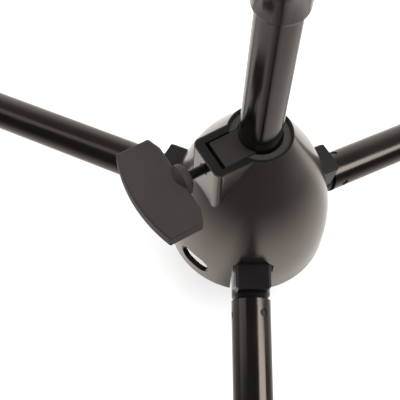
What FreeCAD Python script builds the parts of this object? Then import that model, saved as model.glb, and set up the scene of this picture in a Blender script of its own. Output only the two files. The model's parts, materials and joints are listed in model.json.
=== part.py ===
import FreeCAD, Part
import math
import os
import Sketcher

# Trumpet stand: three folding legs, a bell-shaped hub, a clamped pole and a covered peg.
# Millimetres. Origin on the floor under the pole, Z up, the front leg along -Y.

doc = FreeCAD.newDocument("trumpet_stand")

# ---------------------------------------------------------------- driving sizes

SIZES = [
    ("tube_dia", 16.0, "pole and leg tube outside diameter"),
    ("pole_wall", 1.2, "pole tube wall"),
    ("leg_wall", 1.3, "leg tube wall"),
    ("fit_gap", 0.05, "radial clearance of sliding and turning fits"),
    ("seat_gap", 0.03, "radial clearance of parts that stay together"),
    ("move_gap", 0.3, "clearance between other moving neighbours"),
    ("rim_height", 38.6, "hub rim above the floor"),
    ("leg_slope", 12.2, "leg slope below horizontal, degrees"),
    ("leg_apex", 51.7, "height where the leg axes meet the pole axis"),
    ("hub_dia", 66.4, "hub diameter at the rim"),
    ("hub_wall", 2.2, "hub shell wall"),
    ("hub_straight", 7.0, "straight part of the shell above the rim"),
    ("dome_radius", 95.0, "radius of the dome curve"),
    ("dome_end", 52.0, "height of the top of the dome curve over the rim"),
    ("hub_tall", 69.1, "hub height over the rim"),
    ("collar_dia", 24.8, "clamp collar diameter at the hub top"),
    ("boss_reach", 24.0, "clamp boss front face from the pole axis"),
    ("boss_width", 18.4, "clamp boss width"),
    ("boss_round", 3.0, "clamp boss corner radius"),
    ("boss_skin", 0.6, "shell thickness around the clamp collar"),
    ("slot_width", 16.4, "leg slot width"),
    ("slot_side", 20.0, "leg slot straight side height"),
    ("slot_tall", 24.0, "leg slot height"),
    ("slot_top", 9.5, "leg slot width at its top"),
    ("window_low", 5.0, "window lower edge over the rim"),
    ("window_tall", 9.0, "window height"),
    ("window_width", 14.6, "window width"),
    ("plate_low", 27.0, "carrier plate underside over the rim"),
    ("plate_thick", 3.0, "carrier plate thickness"),
    ("plate_dia", 55.0, "carrier plate diameter"),
    ("core_dia", 23.0, "carrier central tube diameter"),
    ("shelf_height", 49.1, "bushing shelf over the rim"),
    ("bushing_dia", 23.2, "bushing seat diameter"),
    ("recess_width", 12.6, "pad recess width"),
    ("recess_reach", 20.1, "pad recess back wall from the pole axis"),
    ("recess_floor", 56.0, "pad recess floor over the rim"),
    ("pad_width", 12.0, "pressure pad width"),
    ("pad_reach", 18.4, "pressure pad back face from the pole axis"),
    ("screw_dia", 4.0, "clamp screw diameter"),
    ("screw_height", 63.25, "clamp screw axis over the rim"),
    ("insert_dia", 6.4, "threaded insert diameter"),
    ("fixing_dia", 2.9, "carrier screw shank diameter"),
    ("fixing_radius", 22.0, "carrier screws from the pole axis"),
    ("pivot_radius", 22.0, "leg pivots from the pole axis"),
    ("pin_dia", 5.0, "leg pivot pin diameter"),
    ("block_width", 14.0, "leg knuckle width"),
    ("block_top", 15.0, "leg knuckle top over the leg axis"),
    ("block_back", 8.5, "leg knuckle back face behind the pivot"),
    ("block_deep", 12.0, "leg knuckle underside below the leg axis"),
    ("block_end", 38.6, "leg knuckle outer face along the leg"),
    ("ear_thick", 3.5, "clevis ear thickness"),
    ("ear_reach", 26.0, "clevis ear edge from the pole axis"),
    ("leg_start", 40.8, "leg tube inner end along the leg"),
    ("leg_end", 203.0, "leg tube outer end along the leg"),
    ("plug_end", 62.0, "knuckle plug end along the leg"),
    ("rivet_place", 46.6, "leg rivets along the leg"),
    ("rivet_dia", 3.2, "leg rivet diameter"),
    ("foot_start", 172.0, "rubber foot inner end along the leg"),
    ("foot_end", 208.0, "rubber foot outer end along the leg"),
    ("foot_dia", 20.0, "rubber foot diameter"),
    ("pole_low", 16.0, "pole tube lower end"),
    ("pole_high", 204.0, "pole tube upper end"),
    ("sleeve_low", 180.4, "peg base lower edge"),
    ("sleeve_dia", 19.2, "peg base sleeve diameter"),
    ("flare_low", 181.6, "height where the peg base starts to flare"),
    ("flange_low", 216.6, "peg base flange underside"),
    ("flange_high", 221.0, "peg base flange top"),
    ("flange_dia", 54.0, "peg base flange diameter"),
    ("cone_low_dia", 48.0, "peg core diameter at its foot"),
    ("cone_high_dia", 18.0, "peg core diameter at its shoulder"),
    ("cone_shoulder", 350.0, "peg core shoulder height"),
    ("core_wall", 2.5, "peg core wall"),
    ("cover_thick", 1.6, "velour cover thickness"),
    ("knob_width", 40.0, "knob wing width"),
    ("knob_thick", 6.0, "knob wing thickness"),
]

sheet = doc.addObject("Spreadsheet::Sheet", "sizes")
for row, (alias, number, note) in enumerate(SIZES, start=1):
    sheet.set("A%d" % row, str(number))
    sheet.setAlias("A%d" % row, alias)
    sheet.set("B%d" % row, note)
doc.recompute()


class Dim:
    """A size that carries its sheet formula and its value together."""

    def __init__(self, text, value):
        self.text = text
        self.value = value

    def __add__(self, other):
        other = dim(other)
        return Dim("(%s + %s)" % (self.text, other.text), self.value + other.value)

    def __sub__(self, other):
        other = dim(other)
        return Dim("(%s - %s)" % (self.text, other.text), self.value - other.value)

    def __mul__(self, other):
        other = dim(other)
        return Dim("(%s * %s)" % (self.text, other.text), self.value * other.value)

    def __truediv__(self, other):
        other = dim(other)
        return Dim("(%s / %s)" % (self.text, other.text), self.value / other.value)

    def __radd__(self, other):
        return dim(other) + self

    def __rsub__(self, other):
        return dim(other) - self

    def __rmul__(self, other):
        return dim(other) * self

    def __neg__(self):
        return Dim("(0 - %s)" % self.text, -self.value)


def dim(number):
    if isinstance(number, Dim):
        return number
    return Dim("(%.6f)" % number, float(number))


def root(size):
    return Dim("sqrt(%s)" % size.text, math.sqrt(size.value))


def cosine(size):
    return Dim("cos(%s)" % size.text, math.cos(math.radians(size.value)))


class Sizes:
    """Every cell of the sheet as a Dim, read as an attribute."""


size = Sizes()
for alias, number, note in SIZES:
    setattr(size, alias, Dim("sizes.%s" % alias, float(sheet.get(alias))))


# ---------------------------------------------------------------- helpers

def bind(obj, prop, number):
    number = dim(number)
    obj.setExpression(prop, number.text)


def place(obj, x=0, y=0, z=0, rotation=None):
    if rotation is not None:
        obj.Placement = FreeCAD.Placement(FreeCAD.Vector(0, 0, 0), rotation)
    for axis, number in (("x", x), ("y", y), ("z", z)):
        bind(obj, "Placement.Base.%s" % axis, number)
    return obj


def turn(axis, angle):
    return FreeCAD.Rotation(FreeCAD.Vector(*axis), angle)


ALONG_X = turn((0, 1, 0), 90)
ALONG_Y = turn((1, 0, 0), -90)


def cylinder(name, radius, low, high, along="z", x=0, y=0, z=0):
    """A cylinder from low to high along one axis, offset by x, y, z across it."""
    obj = doc.addObject("Part::Cylinder", name)
    bind(obj, "Radius", radius)
    bind(obj, "Height", dim(high) - low)
    if along == "x":
        return place(obj, dim(low), y, z, ALONG_X)
    if along == "y":
        return place(obj, x, dim(low), z, ALONG_Y)
    return place(obj, x, y, dim(low))


def cone(name, radius_low, radius_high, low, high, along="z"):
    obj = doc.addObject("Part::Cone", name)
    bind(obj, "Radius1", radius_low)
    bind(obj, "Radius2", radius_high)
    bind(obj, "Height", dim(high) - low)
    if along == "x":
        return place(obj, dim(low), 0, 0, ALONG_X)
    return place(obj, 0, 0, dim(low))


def box(name, x_span, y_span, z_span):
    obj = doc.addObject("Part::Box", name)
    for prop, span in (("Length", x_span), ("Width", y_span), ("Height", z_span)):
        bind(obj, prop, dim(span[1]) - span[0])
    return place(obj, dim(x_span[0]), dim(y_span[0]), dim(z_span[0]))


def moved(name, source, placement):
    """An object held in a compound that is turned or moved as a whole."""
    obj = doc.addObject("Part::Compound", name)
    obj.Links = [source]
    obj.Placement = placement
    return obj


def around(name, source, angle, axis=(0, 0, 1)):
    """An object turned about an axis through the origin, the pole axis unless given."""
    return moved(name, source, FreeCAD.Placement(FreeCAD.Vector(0, 0, 0), turn(axis, angle)))


def fuse(name, parts):
    obj = doc.addObject("Part::MultiFuse", name)
    obj.Shapes = parts
    obj.Refine = True
    return obj


def cut(name, base, tools):
    obj = doc.addObject("Part::Cut", name)
    obj.Base = base
    obj.Tool = tools[0] if len(tools) == 1 else fuse(name + "_tools", tools)
    obj.Refine = True
    return obj


def compound(name, parts):
    obj = doc.addObject("Part::Compound", name)
    obj.Links = parts
    return obj


def new_body(name):
    return doc.addObject("PartDesign::Body", name)


def new_sketch(body, name, plane, height=None, spin=0):
    sketch = body.newObject("Sketcher::SketchObject", name)
    origin = [item for item in body.Origin.OriginFeatures if item.Role == plane][0]
    sketch.AttachmentSupport = [(origin, "")]
    sketch.MapMode = "FlatFace"
    if spin:
        sketch.AttachmentOffset = FreeCAD.Placement(FreeCAD.Vector(0, 0, 0), turn((0, 1, 0), spin))
    if height is not None:
        bind(sketch, "AttachmentOffset.Base.z", height)
    return sketch


def fix_point(sketch, geo, pos, x, y):
    for kind, number in (("DistanceX", x), ("DistanceY", y)):
        number = dim(number)
        index = sketch.addConstraint(Sketcher.Constraint(kind, -1, 1, geo, pos, number.value))
        sketch.setExpression("Constraints[%d]" % index, number.text)


def following_of(points, index):
    return points[(index + 1) % len(points)]


def outline(sketch, points):
    """A closed outline. Each point is (x, y), or (x, y, radius, centre_x, centre_y) when
    the edge that leaves it is an arc about that centre, clockwise when the radius is negative."""
    count = len(points)
    for index, point in enumerate(points):
        following = following_of(points, index)
        start = FreeCAD.Vector(dim(point[0]).value, dim(point[1]).value, 0)
        end = FreeCAD.Vector(dim(following[0]).value, dim(following[1]).value, 0)
        if len(point) == 2:
            sketch.addGeometry(Part.LineSegment(start, end), False)
            continue
        radius = dim(point[2]).value
        centre = FreeCAD.Vector(dim(point[3]).value, dim(point[4]).value, 0)
        first = math.atan2(start.y - centre.y, start.x - centre.x)
        last = math.atan2(end.y - centre.y, end.x - centre.x)
        circle = Part.Circle(centre, FreeCAD.Vector(0, 0, 1), abs(radius))
        if radius < 0:
            first, last = last, first
        sketch.addGeometry(Part.ArcOfCircle(circle, first, last), False)
    for index, point in enumerate(points):
        clockwise = len(point) == 5 and dim(point[2]).value < 0
        previous = points[index - 1]
        before_clockwise = len(previous) == 5 and dim(previous[2]).value < 0
        own = 2 if clockwise else 1
        before = 1 if before_clockwise else 2
        link = Sketcher.Constraint("Coincident", index, own, (index - 1) % count, before)
        sketch.addConstraint(link)
        fix_point(sketch, index, own, point[0], point[1])
        if len(point) == 5:
            chord_x = abs(dim(following_of(points, index)[0]).value - dim(point[0]).value)
            chord_y = abs(dim(following_of(points, index)[1]).value - dim(point[1]).value)
            upright = chord_y > chord_x
            kind, number = ("DistanceX", point[3]) if upright else ("DistanceY", point[4])
            number = dim(number)
            row = sketch.addConstraint(Sketcher.Constraint(kind, -1, 1, index, 3, number.value))
            sketch.setExpression("Constraints[%d]" % row, number.text)


def ring(sketch, x, y, radius):
    circle = Part.Circle(FreeCAD.Vector(dim(x).value, dim(y).value, 0),
                         FreeCAD.Vector(0, 0, 1), dim(radius).value)
    geo = sketch.addGeometry(circle, False)
    fix_point(sketch, geo, 3, x, y)
    row = sketch.addConstraint(Sketcher.Constraint("Radius", geo, dim(radius).value))
    sketch.setExpression("Constraints[%d]" % row, dim(radius).text)


def feature(body, kind, name, sketch, **settings):
    obj = body.newObject("PartDesign::%s" % kind, name)
    obj.Profile = sketch
    for prop, number in settings.items():
        if isinstance(number, Dim):
            bind(obj, prop, number)
        else:
            setattr(obj, prop, number)
    doc.recompute()
    return obj


def spin_feature(body, kind, name, sketch, axis="V_Axis"):
    return feature(body, kind, name, sketch, ReferenceAxis=(sketch, [axis]), Angle=360.0)


def round_edges(body, kind, name, base, chooser, number):
    """A fillet or chamfer on the edges that chooser picks by their middle point."""
    picked = []
    for index, edge in enumerate(base.Shape.Edges, start=1):
        middle = edge.valueAt((edge.FirstParameter + edge.LastParameter) / 2)
        if chooser(middle, edge):
            picked.append("Edge%d" % index)
    obj = body.newObject("PartDesign::%s" % kind, name)
    obj.Base = (base, picked)
    if kind == "Fillet":
        bind(obj, "Radius", number)
    else:
        bind(obj, "Size", number)
    doc.recompute()
    return obj


def three_times(body, name, original):
    """The same feature repeated three times about the pole axis."""
    obj = body.newObject("PartDesign::PolarPattern", name)
    obj.Originals = [original]
    z_axis = [item for item in body.Origin.OriginFeatures if item.Role == "Z_Axis"][0]
    obj.Axis = (z_axis, [""])
    obj.Angle = 360
    obj.Occurrences = 3
    body.Tip = obj
    doc.recompute()
    return obj


SUBPARTS = []


def finish(obj, node, placement=None):
    obj.Label = node
    if placement is not None:
        obj.Placement = placement
    SUBPARTS.append((node, obj))
    return obj


# ---------------------------------------------------------------- shared places

BOSS_AZIMUTH = 210.0
LEG_AZIMUTHS = (-90.0, 30.0, 150.0)
LEG_TURNS = (180.0, 300.0, 60.0)
FIXING_TURNS = (0.0, 120.0, 240.0)
RIVET_TURNS = (34.0, 154.0, 274.0)
WINDOW_TURN = 15.5

HUB_FRAME = FreeCAD.Placement(FreeCAD.Vector(0, 0, 0), turn((0, 0, 1), BOSS_AZIMUTH))
slope_turn = turn((0, 1, 0), size.leg_slope.value)


def leg_frame(azimuth):
    """X runs down along the leg from the pole axis, Z is square to it, upwards."""
    apex = FreeCAD.Vector(0, 0, size.leg_apex.value)
    return FreeCAD.Placement(apex, turn((0, 0, 1), azimuth).multiply(slope_turn))


rim = size.rim_height
hub_top = rim + size.hub_tall
hub_r = size.hub_dia / 2
tube_r = size.tube_dia / 2
collar_r = size.collar_dia / 2
screw_z = rim + size.screw_height
pin_r = size.pin_dia / 2
pivot_s = size.pivot_radius / cosine(size.leg_slope)

# ---------------------------------------------------------------- hub shell
# Metal dome, open below, with a leg slot for each leg, a see-through window and a flat boss
# that takes the clamp. Local X points to the boss.

dome_x = hub_r - size.dome_radius
dome_z = rim + size.hub_straight
dome_rise = size.dome_end - size.hub_straight
arc_high_r = dome_x + root(size.dome_radius * size.dome_radius - dome_rise * dome_rise)
dome_slope = dome_rise / root(size.dome_radius * size.dome_radius - dome_rise * dome_rise)
top_r = arc_high_r - dome_slope * (size.hub_tall - size.dome_end)

shell = new_body("shell_body")
shell_profile = new_sketch(shell, "shell_profile", "XZ_Plane")
outline(shell_profile, [
    (0, rim),
    (hub_r, rim),
    (hub_r, dome_z, size.dome_radius, dome_x, dome_z),
    (arc_high_r, rim + size.dome_end),
    (top_r, hub_top),
    (0, hub_top),
])
spin_feature(shell, "Revolution", "shell_dome", shell_profile)

boss_profile = new_sketch(shell, "boss_profile", "XY_Plane", hub_top)
boss_half = size.boss_width / 2
outline(boss_profile, [
    (0, -boss_half),
    (size.boss_reach, -boss_half),
    (size.boss_reach, boss_half),
    (0, boss_half),
])
boss_pad = feature(shell, "Pad", "boss_pad", boss_profile, Length=dim(29.0), Reversed=True)
boss_edge = (size.boss_reach.value, boss_half.value)
round_edges(
    shell, "Fillet", "boss_corners", boss_pad,
    lambda p, edge: abs(p.x - boss_edge[0]) < 0.01 and abs(abs(p.y) - boss_edge[1]) < 0.01,
    size.boss_round)

inner_radius = size.dome_radius - size.hub_wall
inner_rise = dome_rise * inner_radius / size.dome_radius
inner_high_r = dome_x + root(inner_radius * inner_radius - inner_rise * inner_rise)
neck_r = collar_r + size.fit_gap
neck_z = dome_z + inner_rise + (inner_high_r - neck_r) / dome_slope
cavity_profile = new_sketch(shell, "cavity_profile", "XZ_Plane")
outline(cavity_profile, [
    (0, rim - 1),
    (hub_r - size.hub_wall, rim - 1),
    (hub_r - size.hub_wall, dome_z, inner_radius, dome_x, dome_z),
    (inner_high_r, dome_z + inner_rise),
    (neck_r, neck_z),
    (neck_r, hub_top + 1),
    (0, hub_top + 1),
])
spin_feature(shell, "Groove", "shell_cavity", cavity_profile)

nest_half = boss_half - size.boss_skin
nest_reach = size.boss_reach - size.boss_skin
nest_round = size.boss_round - size.boss_skin


def nest_outline(sketch, gap):
    """The rounded block behind the clamp boss, drawn in by a gap all round."""
    reach = nest_reach - gap
    half = nest_half - gap
    radius = nest_round - gap
    outline(sketch, [
        (0, -half),
        (reach - radius, -half, radius, reach - radius, radius - half),
        (reach, radius - half),
        (reach, half - radius, radius, reach - radius, half - radius),
        (reach - radius, half),
        (0, half),
    ])


nest_profile = new_sketch(shell, "nest_profile", "XY_Plane", hub_top)
nest_outline(nest_profile, dim(0))
feature(shell, "Pocket", "boss_nest", nest_profile, Length=dim(14.1))

screw_port = new_sketch(shell, "screw_port", "YZ_Plane")
ring(screw_port, 0, screw_z, size.screw_dia / 2 + 0.4)
feature(shell, "Pocket", "screw_port_cut", screw_port, Length=dim(30), Reversed=True)

slot_profile = new_sketch(shell, "slot_profile", "YZ_Plane")
slot_half = size.slot_width / 2
outline(slot_profile, [
    (-slot_half, rim - 1),
    (slot_half, rim - 1),
    (slot_half, rim + size.slot_side),
    (size.slot_top / 2, rim + size.slot_tall),
    (-(size.slot_top / 2), rim + size.slot_tall),
    (-slot_half, rim + size.slot_side),
])
leg_slot = feature(shell, "Pocket", "leg_slot", slot_profile, Length=dim(40))
three_times(shell, "leg_slots", leg_slot)

window_profile = new_sketch(shell, "window_profile", "YZ_Plane", spin=WINDOW_TURN)
window_r = size.window_tall / 2
window_z = rim + size.window_low + window_r
window_x = size.window_width / 2 - window_r
outline(window_profile, [
    (-window_x, window_z - window_r),
    (window_x, window_z - window_r, window_r, window_x, window_z),
    (window_x, window_z + window_r),
    (-window_x, window_z + window_r, window_r, -window_x, window_z),
])
feature(shell, "Pocket", "window", window_profile, Length=dim(40), Reversed=True)

column_low = rim + size.plate_low + size.plate_thick + 0.1
column_profile = new_sketch(shell, "column_profile", "XY_Plane", column_low)
ring(column_profile, size.fixing_radius, 0, 3.2)
column = feature(shell, "Pad", "column", column_profile, Length=dim(13.3))
three_times(shell, "columns", column)
pilot_profile = new_sketch(shell, "pilot_profile", "XY_Plane", column_low + 10)
ring(pilot_profile, size.fixing_radius, 0, size.fixing_dia / 2 + size.seat_gap)
pilot = feature(shell, "Pocket", "pilot", pilot_profile, Length=dim(11))
three_times(shell, "pilots", pilot)
finish(shell, "hub_shell", HUB_FRAME)

# ---------------------------------------------------------------- leg carrier
# Moulded part inside the shell: pole guide, plate screwed to the shell's columns, a pair of
# ears for each leg pin, and the clamp housing at the top.

nest_gap = size.fit_gap
carrier_reach = nest_reach - nest_gap
carrier_floor = rim + size.recess_floor - 0.9
core_low = rim + 1
core_r = size.core_dia / 2
shelf_z = rim + size.shelf_height
recess_z = rim + size.recess_floor
recess_half = size.recess_width / 2
plate_z = rim + size.plate_low
ear_in = size.block_width / 2 + size.move_gap
ear_out = ear_in + size.ear_thick
pivot_z = size.leg_apex - size.pivot_radius * Dim("tan(sizes.leg_slope)",
                                                  math.tan(math.radians(size.leg_slope.value)))

carrier_boss = new_body("carrier_boss")
carrier_boss_profile = new_sketch(carrier_boss, "carrier_boss_profile", "XY_Plane", hub_top)
nest_outline(carrier_boss_profile, nest_gap)
feature(carrier_boss, "Pad", "carrier_boss_pad", carrier_boss_profile,
        Length=hub_top - carrier_floor, Reversed=True)

carrier_solids = [
    cylinder("carrier_foot", core_r - 1.9, core_low, rim + 15),
    cylinder("carrier_core", core_r, rim + 14, shelf_z + 8),
    cylinder("carrier_collar", collar_r, shelf_z - 1, hub_top),
    cylinder("carrier_plate", size.plate_dia / 2, plate_z, plate_z + size.plate_thick),
    cone("carrier_gusset", 20, core_r, plate_z + size.plate_thick, plate_z + 10),
    carrier_boss,
]
carrier_tools = []
for number, angle in enumerate(LEG_TURNS, start=1):
    ears = []
    for side, label in ((1, "a"), (-1, "b")):
        span = (ear_in, ear_out) if side > 0 else (-ear_out, -ear_in)
        ears.append(box("ear_%d%s" % (number, label), (9.5, size.ear_reach), span,
                        (rim + 2, plate_z + 0.5)))
        ears.append(box("ear_rib_%d%s" % (number, label), (6, 14), span,
                        (rim + 2, plate_z + 0.5)))
    stop = box("stop_block_%d" % number,
               (6.5, pivot_s - size.block_back - size.move_gap), (-7.5, 7.5), (4, 14))
    ears.append(moved("stop_%d" % number, stop, leg_frame(0)))
    clevis = fuse("clevis_%d" % number, ears)
    carrier_solids.append(around("clevis_turned_%d" % number, clevis, angle))
    hole = cylinder("pin_hole_%d" % number, pin_r + size.seat_gap, -14, 14, "y",
                    x=size.pivot_radius, z=pivot_z)
    carrier_tools.append(around("pin_bore_%d" % number, hole, angle))

for number, angle in enumerate(FIXING_TURNS, start=1):
    hole = cylinder("fixing_hole_%d" % number, size.fixing_dia / 2 + 0.2, plate_z - 1,
                    plate_z + 5, x=size.fixing_radius)
    carrier_tools.append(around("fixing_bore_%d" % number, hole, angle))
    spot = cylinder("fixing_spot_%d" % number, 3.6, plate_z + size.plate_thick, plate_z + 12,
                    x=size.fixing_radius)
    carrier_tools.append(around("fixing_seat_%d" % number, spot, angle))

carrier = cut("carrier", fuse("carrier_solid", carrier_solids), carrier_tools + [
    cylinder("carrier_guide", tube_r + size.fit_gap, rim - 5, hub_top + 1),
    cylinder("carrier_relief", tube_r + 0.4, rim + 14, shelf_z + 1),
    cylinder("carrier_seat", size.bushing_dia / 2, shelf_z, hub_top + 1),
    box("carrier_recess", (0, size.recess_reach), (-recess_half, recess_half),
        (recess_z, hub_top + 1)),
    cylinder("insert_hole", size.insert_dia / 2 + size.seat_gap, 15, 26, "x", z=screw_z),
])
finish(carrier, "leg_carrier", HUB_FRAME)

# ---------------------------------------------------------------- carrier screws

screw_copies = []
for number, angle in enumerate(FIXING_TURNS, start=1):
    head = cylinder("fixing_head_%d" % number, 2.7, plate_z - 2.1, plate_z - 0.05,
                    x=size.fixing_radius)
    shank = cylinder("fixing_shank_%d" % number, size.fixing_dia / 2, plate_z - 1,
                     plate_z + 12.5, x=size.fixing_radius)
    blades = []
    for label, half_x, half_y in (("a", 1.6, 0.35), ("b", 0.35, 1.6)):
        blades.append(box("fixing_slot_%d%s" % (number, label),
                          (size.fixing_radius - half_x, size.fixing_radius + half_x),
                          (-half_y, half_y), (plate_z - 3, plate_z - 1.1)))
    screw = cut("fixing_%d" % number, fuse("fixing_solid_%d" % number, [head, shank]), blades)
    screw_copies.append(around("fixing_turned_%d" % number, screw, angle))
finish(compound("fixings", screw_copies), "carrier_screws", HUB_FRAME)

# ---------------------------------------------------------------- bushing, pad, insert, screw
# The screw turns in the insert and pushes the pad against the pole.

bushing_r = size.bushing_dia / 2 - size.fit_gap
bushing_top = hub_top - 0.9
bushing = cut("bushing", cylinder("bushing_ring", bushing_r, shelf_z + 0.02, bushing_top), [
    cylinder("bushing_bore", tube_r + size.fit_gap, shelf_z - 1, hub_top),
    cone("bushing_mouth", tube_r + size.fit_gap, tube_r + 0.9, bushing_top - 1.6,
         bushing_top + 0.1),
    box("bushing_slot", (0, 14), (-recess_half, recess_half), (recess_z, hub_top)),
])
finish(bushing, "pole_bushing", HUB_FRAME)

pad_half = size.pad_width / 2
pad_low = recess_z + size.move_gap
pad = cut("pad", box("pad_block", (5, size.pad_reach), (-pad_half, pad_half),
                     (pad_low, hub_top - 0.7)), [
    cylinder("pad_hollow", tube_r + 0.06, pad_low - 1, hub_top),
    cylinder("pad_socket", size.screw_dia / 2 + size.fit_gap, 12.5, size.pad_reach + 1, "x",
             z=screw_z),
])
finish(pad, "pressure_pad", HUB_FRAME)

insert = cut("insert", cylinder("insert_barrel", size.insert_dia / 2,
                                size.recess_reach + 0.05, carrier_reach - 0.1, "x",
                                z=screw_z), [
    cylinder("insert_bore", size.screw_dia / 2 + size.fit_gap, 15, 26, "x", z=screw_z),
])
finish(insert, "clamp_insert", HUB_FRAME)

KNOB_FRAME = FreeCAD.Placement(FreeCAD.Vector(0, 0, screw_z.value),
                               turn((0, 0, 1), BOSS_AZIMUTH))
clamp_screw = fuse("clamp_screw_solid", [
    cylinder("clamp_thread", size.screw_dia / 2, 13.2, 46, "x"),
    cone("clamp_tip", 1.3, size.screw_dia / 2, 12.6, 13.2, "x"),
])
finish(clamp_screw, "clamp_screw", KNOB_FRAME)

# ---------------------------------------------------------------- knob

knob = new_body("knob_body")
wing_profile = new_sketch(knob, "wing_profile", "XY_Plane")
wing_half = size.knob_width / 2
edge_x = 49.5
bulge = 3.5
wing_radius = (wing_half.value ** 2 + bulge ** 2) / (2 * bulge)
outline(wing_profile, [
    (36, -wing_half),
    (edge_x, -wing_half, wing_radius, edge_x + bulge - wing_radius, 0),
    (edge_x, wing_half),
    (36, wing_half),
    (34, 14.5),
    (34, -14.5),
])
wing = feature(knob, "Pad", "wing", wing_profile, Length=size.knob_thick, Midplane=True)
round_edges(knob, "Fillet", "wing_edges", wing, lambda p, edge: True, dim(1.0))
hub_profile = new_sketch(knob, "knob_hub_profile", "XY_Plane")
outline(hub_profile, [
    (30.6, 0),
    (30.6, 4.2),
    (31.0, 4.6),
    (31.6, 4.6),
    (31.6, 5.5),
    (32.1, 6.0),
    (34.0, 6.0),
    (34.8, 5.3),
    (36.6, 3.1),
    (45, 2.6),
    (45, 0),
])
spin_feature(knob, "Revolution", "knob_hub", hub_profile, "H_Axis")
bore_profile = new_sketch(knob, "knob_bore_profile", "XY_Plane")
outline(bore_profile, [
    (29, 0),
    (29, size.screw_dia / 2 + size.seat_gap),
    (46.05, size.screw_dia / 2 + size.seat_gap),
    (46.05, 0),
])
spin_feature(knob, "Groove", "knob_bore", bore_profile, "H_Axis")
finish(knob, "clamp_knob", KNOB_FRAME)

# ---------------------------------------------------------------- pole

pole = cut("pole", cylinder("pole_outside", tube_r, size.pole_low, size.pole_high), [
    cylinder("pole_inside", tube_r - size.pole_wall, size.pole_low - 1, size.pole_high + 1),
])
finish(pole, "pole_tube")

plug_r = tube_r - size.pole_wall - size.seat_gap
end_cap = fuse("end_cap", [
    cone("end_cap_bevel", tube_r - 1.2, tube_r, size.pole_low - 3.5, size.pole_low - 2.3),
    cylinder("end_cap_rim", tube_r, size.pole_low - 2.3, size.pole_low - 0.02),
    cylinder("end_cap_plug", plug_r, size.pole_low - 1, size.pole_low + 9),
    cone("end_cap_lead", plug_r, plug_r - 1, size.pole_low + 9, size.pole_low + 10.5),
])
finish(end_cap, "pole_end_cap")

# ---------------------------------------------------------------- legs
# Each leg is drawn along local X from the pole axis and then turned into its own frame.

rivet_r = size.rivet_dia / 2
plug_radius = tube_r - size.leg_wall - size.seat_gap
foot_r = size.foot_dia / 2
slope_back = FreeCAD.Placement(FreeCAD.Vector(0, 0, 0), slope_turn).inverse()


def rivet_rods(name, radius, low, high):
    """Three short rods across the leg axis, for the rivets or for their holes."""
    rods = []
    for index, angle in enumerate(RIVET_TURNS, start=1):
        rod = cylinder("%s_rod_%d" % (name, index), radius, low, high, x=size.rivet_place)
        rods.append(around("%s_%d" % (name, index), rod, -angle, (1, 0, 0)))
    return rods


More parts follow.
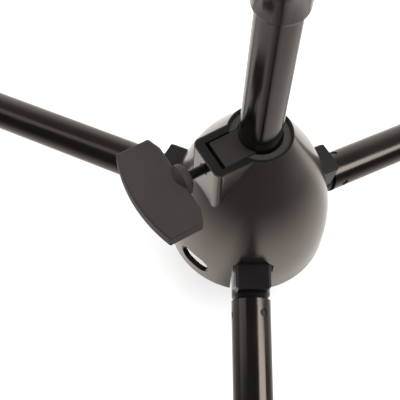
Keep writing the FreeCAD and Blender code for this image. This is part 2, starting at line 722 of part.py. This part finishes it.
for number, azimuth in enumerate(LEG_AZIMUTHS, start=1):
    frame = leg_frame(azimuth)
    tube = cut("tube_%d" % number,
               cylinder("tube_out_%d" % number, tube_r, size.leg_start, size.leg_end, "x"),
               [cylinder("tube_in_%d" % number, tube_r - size.leg_wall, size.leg_start - 1,
                         size.leg_end + 1, "x")]
               + rivet_rods("tube_hole_%d" % number, rivet_r + size.seat_gap, 4, 9))
    finish(tube, "leg_tube_%d" % number, frame)

    knuckle = new_body("knuckle_body_%d" % number)
    side_profile = new_sketch(knuckle, "knuckle_side_%d" % number, "XZ_Plane")
    back = size.block_back
    outline(side_profile, [
        (pivot_s, -back),
        (pivot_s + 3, -size.block_deep),
        (size.block_end, -size.block_deep),
        (size.block_end, size.block_top),
        (pivot_s - back + 5, size.block_top),
        (pivot_s - back, size.block_top - 4),
        (pivot_s - back, 0, back, pivot_s, 0),
    ])
    block = feature(knuckle, "Pad", "knuckle_block_%d" % number, side_profile,
                    Length=size.block_width, Midplane=True)
    half_width = size.block_width.value / 2
    top_edge = size.block_top.value
    end_edge = size.block_end.value
    round_edges(knuckle, "Chamfer", "knuckle_edges_%d" % number, block,
                lambda p, edge: abs(abs(p.y) - half_width) < 0.01
                and (abs(p.z - top_edge) < 0.01 or abs(p.x - end_edge) < 0.01), dim(1.0))
    plug_profile = new_sketch(knuckle, "knuckle_plug_%d" % number, "XY_Plane")
    outline(plug_profile, [
        (size.block_end - 2, 0),
        (size.block_end - 2, 7.8),
        (size.block_end, 7.8),
        (size.leg_start - 0.3, plug_radius),
        (size.plug_end - 1, plug_radius),
        (size.plug_end, plug_radius - 1),
        (size.plug_end, 0),
    ])
    spin_feature(knuckle, "Revolution", "knuckle_stem_%d" % number, plug_profile, "H_Axis")
    pivot_profile = new_sketch(knuckle, "knuckle_pivot_%d" % number, "XZ_Plane")
    ring(pivot_profile, pivot_s, 0, pin_r + size.fit_gap)
    feature(knuckle, "Pocket", "knuckle_bore_%d" % number, pivot_profile,
            Length=dim(20), Midplane=True)
    for index, angle in enumerate(RIVET_TURNS, start=1):
        rivet_profile = new_sketch(knuckle, "rivet_seat_%d_%d" % (number, index), "XY_Plane")
        rivet_profile.AttachmentOffset = FreeCAD.Placement(FreeCAD.Vector(0, 0, 0),
                                                           turn((1, 0, 0), -angle))
        ring(rivet_profile, size.rivet_place, 0, rivet_r + size.seat_gap)
        feature(knuckle, "Pocket", "rivet_bore_%d_%d" % (number, index), rivet_profile,
                Length=dim(9), Reversed=True)
    finish(knuckle, "leg_knuckle_%d" % number, frame)

    rivets = rivet_rods("rivet_%d" % number, rivet_r, 2.5, 7.5)
    finish(compound("rivets_%d" % number, rivets), "leg_rivets_%d" % number, frame)

    pin = fuse("pin_%d" % number, [
        cylinder("pin_shank_%d" % number, pin_r, -ear_out - 0.05, ear_out + 0.05, "y",
                 x=pivot_s),
        cylinder("pin_head_a_%d" % number, pin_r + 1, ear_out + 0.05, ear_out + 1.1, "y",
                 x=pivot_s),
        cylinder("pin_head_b_%d" % number, pin_r + 1, -ear_out - 1.1, -ear_out - 0.05, "y",
                 x=pivot_s),
    ])
    finish(pin, "leg_pin_%d" % number, frame)

    floor = box("floor_block_%d" % number, (150, 230), (-30, 30),
                (-40 - size.leg_apex, -size.leg_apex))
    foot = cut("foot_%d" % number, fuse("foot_solid_%d" % number, [
        cone("foot_lip_%d" % number, foot_r - 1, foot_r, size.foot_start,
             size.foot_start + 1.5, "x"),
        cylinder("foot_barrel_%d" % number, foot_r, size.foot_start + 1.5,
                 size.foot_end - 2, "x"),
        cone("foot_nose_%d" % number, foot_r, foot_r - 2, size.foot_end - 2, size.foot_end, "x"),
    ]), [
        cylinder("foot_socket_%d" % number, tube_r + size.seat_gap, size.foot_start - 1,
                 size.leg_end + 0.05, "x"),
        moved("floor_%d" % number, floor, slope_back),
    ])
    finish(foot, "leg_foot_%d" % number, frame)

# ---------------------------------------------------------------- peg
# The base sits on the pole end; the hollow core is screwed on it and carries the cover.

socket_r = tube_r + size.seat_gap
sleeve_r = size.sleeve_dia / 2
flange_r = size.flange_dia / 2
flare_drop = size.flange_low - size.flare_low
flare_reach = flange_r - 1 - sleeve_r
flare_r = (flare_reach * flare_reach + flare_drop * flare_drop) / (flare_reach * 2)
peg_base = new_body("peg_base_body")
base_profile = new_sketch(peg_base, "peg_base_profile", "XZ_Plane")
outline(base_profile, [
    (socket_r, size.sleeve_low),
    (sleeve_r - 0.6, size.sleeve_low),
    (sleeve_r - 0.2, size.sleeve_low + 0.4),
    (sleeve_r, size.flare_low, -flare_r, sleeve_r + flare_r, size.flare_low),
    (flange_r - 1, size.flange_low),
    (flange_r, size.flange_low + 1),
    (flange_r, size.flange_high - 1),
    (flange_r - 1, size.flange_high),
    (19.9, size.flange_high),
    (19.9, size.flange_high - 4),
    (8.5, size.pole_high + 6),
    (4, size.pole_high + 6),
    (4, size.pole_high + 0.5),
    (socket_r, size.pole_high + 0.5),
])
spin_feature(peg_base, "Revolution", "peg_base_turned", base_profile)
lift_profile = new_sketch(peg_base, "core_fixing_profile", "XY_Plane", size.flange_high + 1)
ring(lift_profile, 21.5, 0, 1.45)
lift = feature(peg_base, "Pocket", "core_fixing", lift_profile, Length=dim(9))
three_times(peg_base, "core_fixings", lift)
side_screw = new_sketch(peg_base, "set_screw_profile", "YZ_Plane")
ring(side_screw, 0, size.flare_low + 13, 2.03)
feature(peg_base, "Pocket", "set_screw_hole", side_screw, Length=dim(30), Reversed=True)
finish(peg_base, "peg_base")

set_screw = cut("set_screw", cylinder("set_screw_barrel", 2.0, tube_r + 0.02, 11.4, "x",
                                      z=size.flare_low + 13), [
    cylinder("set_screw_hex", 1.1, 9.8, 12, "x", z=size.flare_low + 13),
])
finish(set_screw, "peg_set_screw")

cone_low_r = size.cone_low_dia / 2
cone_high_r = size.cone_high_dia / 2
cone_foot = size.flange_high + 0.02
shoulder = size.cone_shoulder
peg_core = new_body("peg_core_body")
core_profile = new_sketch(peg_core, "peg_core_profile", "XZ_Plane")
outline(core_profile, [
    (19, cone_foot),
    (cone_low_r, cone_foot),
    (cone_high_r, shoulder, cone_high_r, 0, shoulder),
    (0, shoulder + cone_high_r),
    (0, shoulder + cone_high_r - size.core_wall),
    (cone_high_r - size.core_wall, shoulder - 4),
    (cone_low_r - size.core_wall - 0.6, cone_foot + 8),
    (19, cone_foot + 5),
])
spin_feature(peg_core, "Revolution", "peg_core_turned", core_profile)
core_hole_profile = new_sketch(peg_core, "core_hole_profile", "XY_Plane", cone_foot + 4)
ring(core_hole_profile, 21.5, 0, 1.28)
core_hole = feature(peg_core, "Pocket", "core_hole", core_hole_profile, Length=dim(6))
three_times(peg_core, "core_holes", core_hole)
finish(peg_core, "peg_core")

core_screws = []
for number, angle in enumerate(FIXING_TURNS, start=1):
    core_screws.append(around(
        "core_screw_%d" % number,
        cylinder("core_screw_shank_%d" % number, 1.25, size.flange_high - 4.4,
                 cone_foot + 3.6, x=21.5), angle))
finish(compound("core_screw_set", core_screws), "peg_screws")

peg_cover = new_body("peg_cover_body")
cover_profile = new_sketch(peg_cover, "peg_cover_profile", "XZ_Plane")
cover_gap = 0.1
cover_low_in = cone_low_r + cover_gap
cover_high_in = cone_high_r + cover_gap
cover_low_out = cover_low_in + size.cover_thick
cover_high_out = cover_high_in + size.cover_thick
cover_foot = cone_foot + 0.1
outline(cover_profile, [
    (cover_low_in, cover_foot),
    (cover_low_out, cover_foot),
    (cover_high_out, shoulder, cover_high_out, 0, shoulder),
    (0, shoulder + cover_high_out),
    (0, shoulder + cover_high_in),
    (0.001, shoulder + cover_high_in, -cover_high_in, 0, shoulder),
    (cover_high_in, shoulder),
])
spin_feature(peg_cover, "Revolution", "peg_cover_turned", cover_profile)
finish(peg_cover, "peg_cover")

# ---------------------------------------------------------------- checks and export

doc.recompute()
for obj in doc.Objects:
    if any(word in obj.State for word in ("Invalid", "Error")):
        raise RuntimeError("%s did not build" % obj.Name)
os.makedirs("parts", exist_ok=True)
for node, obj in SUBPARTS:
    if obj.Shape.isNull() or not obj.Shape.isValid():
        raise RuntimeError("%s has no valid shape" % node)
    obj.Shape.exportStep("parts/%s.step" % node)
    print("%-16s %2d solids %10.1f mm3" % (node, len(obj.Shape.Solids), obj.Shape.Volume))
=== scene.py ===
import json
import math
import bpy
from mathutils import Euler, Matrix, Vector, noise


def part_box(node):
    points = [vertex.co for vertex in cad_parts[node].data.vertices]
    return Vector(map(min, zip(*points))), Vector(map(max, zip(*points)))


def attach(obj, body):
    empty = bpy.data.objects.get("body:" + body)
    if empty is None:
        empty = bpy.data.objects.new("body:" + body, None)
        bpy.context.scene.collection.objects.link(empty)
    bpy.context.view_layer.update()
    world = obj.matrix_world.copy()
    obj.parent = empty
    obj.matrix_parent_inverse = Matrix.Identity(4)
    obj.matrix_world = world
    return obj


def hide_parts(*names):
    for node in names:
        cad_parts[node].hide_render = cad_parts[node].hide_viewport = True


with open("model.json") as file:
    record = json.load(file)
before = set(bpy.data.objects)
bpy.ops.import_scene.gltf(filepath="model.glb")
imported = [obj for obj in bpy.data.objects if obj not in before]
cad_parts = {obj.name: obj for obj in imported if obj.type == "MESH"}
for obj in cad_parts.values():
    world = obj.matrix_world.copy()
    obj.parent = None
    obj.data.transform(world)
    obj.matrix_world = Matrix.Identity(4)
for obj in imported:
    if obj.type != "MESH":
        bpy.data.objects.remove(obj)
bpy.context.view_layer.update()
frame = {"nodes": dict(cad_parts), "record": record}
nodes = frame["nodes"]
MM = 0.001
CLAMP_AZIMUTH = math.radians(210)
FLOOR_HALF = 60
FLOOR_DROP = 0.2 * MM

# ---------------------------------------------------------------- materials


def surface(name, colour, rough, metallic=0.0, spread=0.12, grain=900.0, bump=0.05,
            depth=0.0002, sheen=0.0, rough_spread=0.06, specular=0.5):
    """A node-based finish: colour and roughness vary slowly, a finer noise makes the grain.

    spread is the share by which the colour varies, rough_spread the change of roughness,
    grain the scale of the fine noise, depth its height in metres.
    """
    made = bpy.data.materials.new(name)
    made.use_nodes = True
    tree = made.node_tree
    shader = tree.nodes["Principled BSDF"]
    shader.inputs["Metallic"].default_value = metallic
    shader.inputs["Sheen Weight"].default_value = sheen
    shader.inputs["Sheen Roughness"].default_value = 0.45
    shader.inputs["Specular IOR Level"].default_value = specular
    place = tree.nodes.new("ShaderNodeTexCoord")

    broad = tree.nodes.new("ShaderNodeTexNoise")
    broad.inputs["Scale"].default_value = 60.0
    broad.inputs["Detail"].default_value = 4.0
    tree.links.new(place.outputs["Object"], broad.inputs["Vector"])
    fine = tree.nodes.new("ShaderNodeTexNoise")
    fine.inputs["Scale"].default_value = grain
    fine.inputs["Detail"].default_value = 3.0
    tree.links.new(place.outputs["Object"], fine.inputs["Vector"])

    tint = tree.nodes.new("ShaderNodeValToRGB")
    low = [max(0.0, value * (1.0 - spread)) for value in colour]
    high = [min(1.0, value * (1.0 + spread)) for value in colour]
    tint.color_ramp.elements[0].position = 0.3
    tint.color_ramp.elements[1].position = 0.7
    tint.color_ramp.elements[0].color = (*low, 1.0)
    tint.color_ramp.elements[1].color = (*high, 1.0)
    tree.links.new(broad.outputs["Fac"], tint.inputs["Fac"])
    tree.links.new(tint.outputs["Color"], shader.inputs["Base Color"])

    gloss = tree.nodes.new("ShaderNodeMapRange")
    gloss.inputs["From Min"].default_value = 0.3
    gloss.inputs["From Max"].default_value = 0.7
    gloss.inputs["To Min"].default_value = max(0.02, rough - rough_spread)
    gloss.inputs["To Max"].default_value = min(1.0, rough + rough_spread)
    tree.links.new(broad.outputs["Fac"], gloss.inputs["Value"])
    tree.links.new(gloss.outputs["Result"], shader.inputs["Roughness"])

    relief = tree.nodes.new("ShaderNodeBump")
    relief.inputs["Strength"].default_value = bump
    relief.inputs["Distance"].default_value = depth
    tree.links.new(fine.outputs["Fac"], relief.inputs["Height"])
    tree.links.new(relief.outputs["Normal"], shader.inputs["Normal"])
    return made


finishes = {
    "shell_metal": surface("satin_shell", (0.175, 0.156, 0.143), 0.21, metallic=0.95, spread=0.05,
                           grain=2600.0, bump=0.05, depth=0.00008, rough_spread=0.02),
    "tube_metal": surface("gloss_black_tube", (0.068, 0.059, 0.053), 0.19, metallic=0.95,
                          spread=0.08, grain=1400.0, bump=0.03, depth=0.00005,
                          rough_spread=0.04),
    "base_gloss": surface("gloss_base", (0.062, 0.054, 0.049), 0.2, metallic=0.9, spread=0.08,
                          grain=1400.0, bump=0.03, depth=0.00005, rough_spread=0.04),
    "black_plastic": surface("moulded_black", (0.0055, 0.0046, 0.0046), 0.38, spread=0.15,
                             grain=2400.0, bump=0.14, depth=0.0001, specular=0.42),
    "grey_plastic": surface("moulded_grey", (0.09, 0.09, 0.09), 0.5, grain=2400.0, bump=0.2),
    "knob_plastic": surface("knob_grain", (0.024, 0.0195, 0.0185), 0.6, spread=0.08,
                            grain=3200.0, bump=0.35, depth=0.0001, specular=0.4),
    "nylon": surface("dark_nylon", (0.0165, 0.0135, 0.013), 0.5, spread=0.12, grain=1800.0,
                     bump=0.12, specular=0.4),
    # The bushing uses the pad's nylon, but its colour is painted lighter as a painted highlight
    # on the ring; its lower roughness and higher specular are real gloss.
    "bushing_nylon_painted_highlight": surface("bushing_nylon_painted_highlight", (0.034, 0.0335, 0.031), 0.3, spread=0.12,
                             grain=1800.0, bump=0.08, specular=0.6),
    "dark_steel": surface("black_zinc", (0.03, 0.026, 0.024), 0.34, metallic=0.85, spread=0.2,
                          grain=2000.0, bump=0.1),
    "steel": surface("zinc_steel", (0.42, 0.42, 0.41), 0.35, metallic=0.9, spread=0.1,
                     grain=2000.0, bump=0.1),
    "brass": surface("turned_brass", (0.55, 0.38, 0.14), 0.3, metallic=0.95, spread=0.1,
                     grain=2000.0, bump=0.08),
    "foot_rubber": surface("foot_rubber", (0.022, 0.022, 0.023), 0.75, spread=0.25,
                           grain=1500.0, bump=0.3, depth=0.0002),
}
slots = {part["node"]: part["material_slot"] for part in frame["record"]["subparts"]}
for node, obj in nodes.items():
    # the pole bushing gets the lighter nylon copy, whose colour holds a painted highlight
    finish = "bushing_nylon_painted_highlight" if node == "pole_bushing" else slots[node]
    if finish in finishes:
        obj.data.materials.clear()
        obj.data.materials.append(finishes[finish])

# ---------------------------------------------------------------- stage, light, camera

floor_mesh = bpy.data.meshes.new("floor")
floor_corners = [(x * FLOOR_HALF, y * FLOOR_HALF, 0)
                 for x, y in ((-1, -1), (1, -1), (1, 1), (-1, 1))]
floor_mesh.from_pydata(floor_corners, [], [(0, 1, 2, 3)])
floor = bpy.data.objects.new("floor", floor_mesh)
bpy.context.scene.collection.objects.link(floor)
floor.location.z = -FLOOR_DROP
floor_mesh.materials.append(surface("pale_floor", (0.93, 0.93, 0.93), 0.8, spread=0.01,
                                    grain=40.0, bump=0.01, rough_spread=0.02, specular=0.2))

world = bpy.data.worlds.new("studio")
bpy.context.scene.world = world
world.use_nodes = True
sky = world.node_tree
toward = sky.nodes.new("ShaderNodeTexCoord")
split = sky.nodes.new("ShaderNodeSeparateXYZ")
sky.links.new(toward.outputs["Generated"], split.inputs["Vector"])


def sky_ramp(source, low, high, first, last):
    """A smooth change of strength from first to last as a direction runs from low to high."""
    ramp = sky.nodes.new("ShaderNodeMapRange")
    ramp.interpolation_type = "SMOOTHSTEP"
    ramp.inputs["From Min"].default_value = low
    ramp.inputs["From Max"].default_value = high
    ramp.inputs["To Min"].default_value = first
    ramp.inputs["To Max"].default_value = last
    sky.links.new(source, ramp.inputs["Value"])
    return ramp.outputs["Result"]


def sky_math(operation, first, second):
    """One step of arithmetic on two numbers or node outputs."""
    step = sky.nodes.new("ShaderNodeMath")
    step.operation = operation
    for socket, value in zip(step.inputs, (first, second)):
        if isinstance(value, float):
            socket.default_value = value
        else:
            sky.links.new(value, socket)
    return step.outputs["Value"]


# A bright wall behind the stand, a bright table below it and a dark gap in front of it.
backdrop = sky_ramp(split.outputs["Y"], -0.05, 0.5, 0.0, 1.0)
not_high = sky_ramp(split.outputs["Z"], 0.2, 0.7, 1.0, 0.12)
table = sky_ramp(split.outputs["Z"], -0.8, -0.1, 0.95, 0.0)
glow = sky_math("MULTIPLY", backdrop, not_high)
glow = sky_math("MULTIPLY", glow, 1.25)
beside = sky_ramp(sky_math("ABSOLUTE", sky_math("ADD", split.outputs["X"], 0.06), 0.0),
                  0.04, 0.3, 0.3, 1.0)
behind = sky_ramp(split.outputs["Y"], -0.1, 0.1, 0.0, 1.0)
table = sky_math("MULTIPLY", table, sky_math("MAXIMUM", beside, behind))
glow = sky_math("MAXIMUM", glow, table)
glow = sky_math("ADD", glow, 0.07)
sky.nodes["Background"].inputs["Color"].default_value = (1.0, 0.965, 0.93, 1.0)
sky.links.new(glow, sky.nodes["Background"].inputs["Strength"])


def lamp(name, kind, place, aim, mirrored, **settings):
    """A light aimed at a point; mirrored says whether glossy surfaces reflect it."""
    data = bpy.data.lights.new(name, kind)
    for key, value in settings.items():
        setattr(data, key, value)
    obj = bpy.data.objects.new(name, data)
    bpy.context.scene.collection.objects.link(obj)
    obj.location = place
    obj.rotation_euler = (Vector(aim) - Vector(place)).to_track_quat("-Z", "Y").to_euler()
    obj.visible_glossy = mirrored
    return obj


lamp("room_light", "SUN", (0, 0.1, 1.5), (0, 0, 0), False, energy=4.7,
     angle=math.radians(110))
lamp("window_left", "AREA", (-0.95, 0.1, 0.7), (0, 0, 0.1), True, shape="RECTANGLE",
     size=0.35, size_y=0.9, energy=0.9)
lamp("window_right", "AREA", (1.0, -0.15, 0.8), (0, 0, 0.1), True, shape="RECTANGLE",
     size=0.4, size_y=0.9, energy=7.0)
floor.visible_glossy = False    # glossy surfaces reflect the studio's table in its place

camera_data = bpy.data.cameras.new("camera")
camera = bpy.data.objects.new("camera", camera_data)
bpy.context.scene.collection.objects.link(camera)
camera.location = (-33.76 * MM, -186.75 * MM, 402.33 * MM)
camera.rotation_euler = Euler([math.radians(angle) for angle in (28.321, -1.737, -0.834)])
camera_data.sensor_width = 36.0
camera_data.lens = 85.56
camera_data.clip_start = 0.01
bpy.context.scene.camera = camera
bpy.context.scene.view_settings.view_transform = "Standard"

# ---------------------------------------------------------------- made pieces


def add_piece(name, verts, faces, finish, body, replaced):
    """A smooth mesh that rides a body in place of the named CAD nodes."""
    mesh = bpy.data.meshes.new(name)
    mesh.from_pydata([tuple(point) for point in verts], [], faces)
    mesh.materials.append(finish)
    for polygon in mesh.polygons:
        polygon.use_smooth = True
    obj = bpy.data.objects.new(name, mesh)
    bpy.context.scene.collection.objects.link(obj)
    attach(obj, body)
    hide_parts(*replaced)
    return obj


SCREW_START = 12.7 * MM
SCREW_END = 45.9 * MM
SCREW_RADIUS = 1.98 * MM
SCREW_PITCH = 0.7 * MM
SCREW_DEPTH = 0.38 * MM
SCREW_SIDES = 28
STEPS_PER_TURN = 8
screw_low, screw_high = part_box("clamp_screw")
screw_z = (screw_low.z + screw_high.z) / 2
outward = Vector((math.cos(CLAMP_AZIMUTH), math.sin(CLAMP_AZIMUTH), 0))
sideways = Vector((-outward.y, outward.x, 0))


def screw_thread(start, end, radius, pitch, depth):
    """A threaded rod: a helical ridge wound on a core, with a plain tip and tail."""
    steps = int((end - start) / pitch * STEPS_PER_TURN)
    verts = []
    for row in range(steps + 1):
        along = start + (end - start) * row / steps
        for column in range(SCREW_SIDES):
            angle = 2 * math.pi * column / SCREW_SIDES
            phase = (along / pitch - column / SCREW_SIDES) % 1.0
            ridge = 1.0 - abs(2.0 * phase - 1.0)    # 0 in the root, 1 on the crest
            fade = min(1.0, (along - start) / pitch, (end - along) / pitch)
            reach = radius - depth + depth * max(0.0, min(1.0, ridge * 1.35 - 0.15)) * fade
            point = outward * along + sideways * (reach * math.cos(angle))
            verts.append(point + Vector((0, 0, screw_z + reach * math.sin(angle))))
    faces = []
    for row in range(steps):
        near, far = row * SCREW_SIDES, (row + 1) * SCREW_SIDES
        for column in range(SCREW_SIDES):
            after = (column + 1) % SCREW_SIDES
            faces.append((near + column, near + after, far + after, far + column))
    faces.append(tuple(range(SCREW_SIDES - 1, -1, -1)))
    faces.append(tuple(steps * SCREW_SIDES + column for column in range(SCREW_SIDES)))
    return verts, faces


verts, faces = screw_thread(SCREW_START, SCREW_END, SCREW_RADIUS, SCREW_PITCH, SCREW_DEPTH)
add_piece("clamp_screw_thread", verts, faces, finishes["dark_steel"], "knob", ["clamp_screw"])

# ---------------------------------------------------------------- velour cover

velour = surface("black_velour", (0.0105, 0.0098, 0.0115), 0.95, spread=0.55, grain=1700.0,
                 bump=1.0, depth=0.0007, sheen=0.4, rough_spread=0.04, specular=0.12)
cover_low, cover_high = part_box("peg_cover")
COVER_FOOT_R = (cover_high.x - cover_low.x) / 2
COVER_TOP_R = 10.7 * MM
COVER_THICK = 1.4 * MM
COVER_ROWS = 190
COVER_COLUMNS = 220
SEAM_ANGLE = math.radians(90)
SEAM_WIDTH = 0.5 * MM
SEAM_DEPTH = 0.75 * MM
LIP_PLACE = 1.3 * MM        # puffed strips on either side of the seam
LIP_WIDTH = 0.8 * MM
LIP_HEIGHT = 0.12 * MM
HEM_PLACE = 0.035           # shares of the way from the foot to the tip
HEM_WIDTH = 0.006
HEM_DEPTH = 0.45 * MM
PULL_HEIGHT = 0.22 * MM     # soft pulls of the stretched cloth
PILE_HEIGHT = 0.07 * MM
INSET_ALL = 0.35 * MM       # keeps the sleeve inside its solid
TIP_R = 4 * MM              # relief fades out within this radius
TIP_SHARE = 0.9             # above this share the inner layer is also lowered
TIP_DROP = 0.3 * MM


def cover_outline(share):
    """Radius and height on the sleeve, from its hem at 0 to the middle of its top at 1."""
    shoulder = cover_high.z - COVER_TOP_R
    straight = math.hypot(COVER_FOOT_R - COVER_TOP_R, shoulder - cover_low.z)
    cap = COVER_TOP_R * math.pi / 2
    along = share * (straight + cap)
    if along < straight:
        part = along / straight
        return (COVER_FOOT_R + (COVER_TOP_R - COVER_FOOT_R) * part,
                cover_low.z + (shoulder - cover_low.z) * part)
    angle = (along - straight) / COVER_TOP_R
    return COVER_TOP_R * math.cos(angle), shoulder + COVER_TOP_R * math.sin(angle)


def sleeve_point(share, angle, inset):
    """A point of the stretched sleeve: soft pulls, a sewn seam and a rolled hem."""
    radius, height = cover_outline(share)
    direction = Vector((math.cos(angle), math.sin(angle), 0))
    pull = noise.noise(Vector((direction.x * 2.2, direction.y * 2.2, height * 40.0)))
    pile = noise.noise(Vector((direction.x * 9.0, direction.y * 9.0, height * 190.0)))
    seam = (angle - SEAM_ANGLE + math.pi) % (2 * math.pi) - math.pi
    across = seam * radius
    seam_end = min(1.0, (1.0 - share) * 12.0)
    groove = math.exp(-(across / SEAM_WIDTH) ** 2) * seam_end
    lips = math.exp(-((abs(across) - LIP_PLACE) / LIP_WIDTH) ** 2) * seam_end
    hem = math.exp(-((share - HEM_PLACE) / HEM_WIDTH) ** 2)
    change = PULL_HEIGHT * pull + PILE_HEIGHT * pile + LIP_HEIGHT * lips - SEAM_DEPTH * groove
    change -= HEM_DEPTH * hem + INSET_ALL
    relief = change * min(1.0, radius / TIP_R)
    reach = max(0.0, radius + relief - inset * radius / COVER_FOOT_R)
    drop = inset if share > TIP_SHARE else 0.0
    level = height - drop * (share - TIP_SHARE) * 10.0 - TIP_DROP * share
    return direction * reach + Vector((0, 0, level))


def sleeve(rows, columns):
    """The outer and the inner layer of the sleeve, joined along the hem."""
    verts = []
    for inset in (0.0, COVER_THICK):
        for row in range(rows):
            for column in range(columns):
                verts.append(sleeve_point(row / rows, 2 * math.pi * column / columns, inset))
        verts.append(sleeve_point(1.0, 0.0, inset))
    faces = []
    layer = rows * columns + 1
    for side in (0, 1):
        start = side * layer
        for row in range(rows - 1):
            low, high = start + row * columns, start + (row + 1) * columns
            for column in range(columns):
                after = (column + 1) % columns
                corners = [low + column, low + after, high + after, high + column]
                faces.append(corners if side == 0 else corners[::-1])
        last_row, top = start + (rows - 1) * columns, start + layer - 1
        for column in range(columns):
            after = (column + 1) % columns
            corners = [last_row + column, last_row + after, top]
            faces.append(corners if side == 0 else corners[::-1])
    for column in range(columns):
        after = (column + 1) % columns
        faces.append([after, column, layer + column, layer + after])
    return verts, faces


verts, faces = sleeve(COVER_ROWS, COVER_COLUMNS)
cover = add_piece("velour_sleeve", verts, faces, velour, "peg", ["peg_cover"])
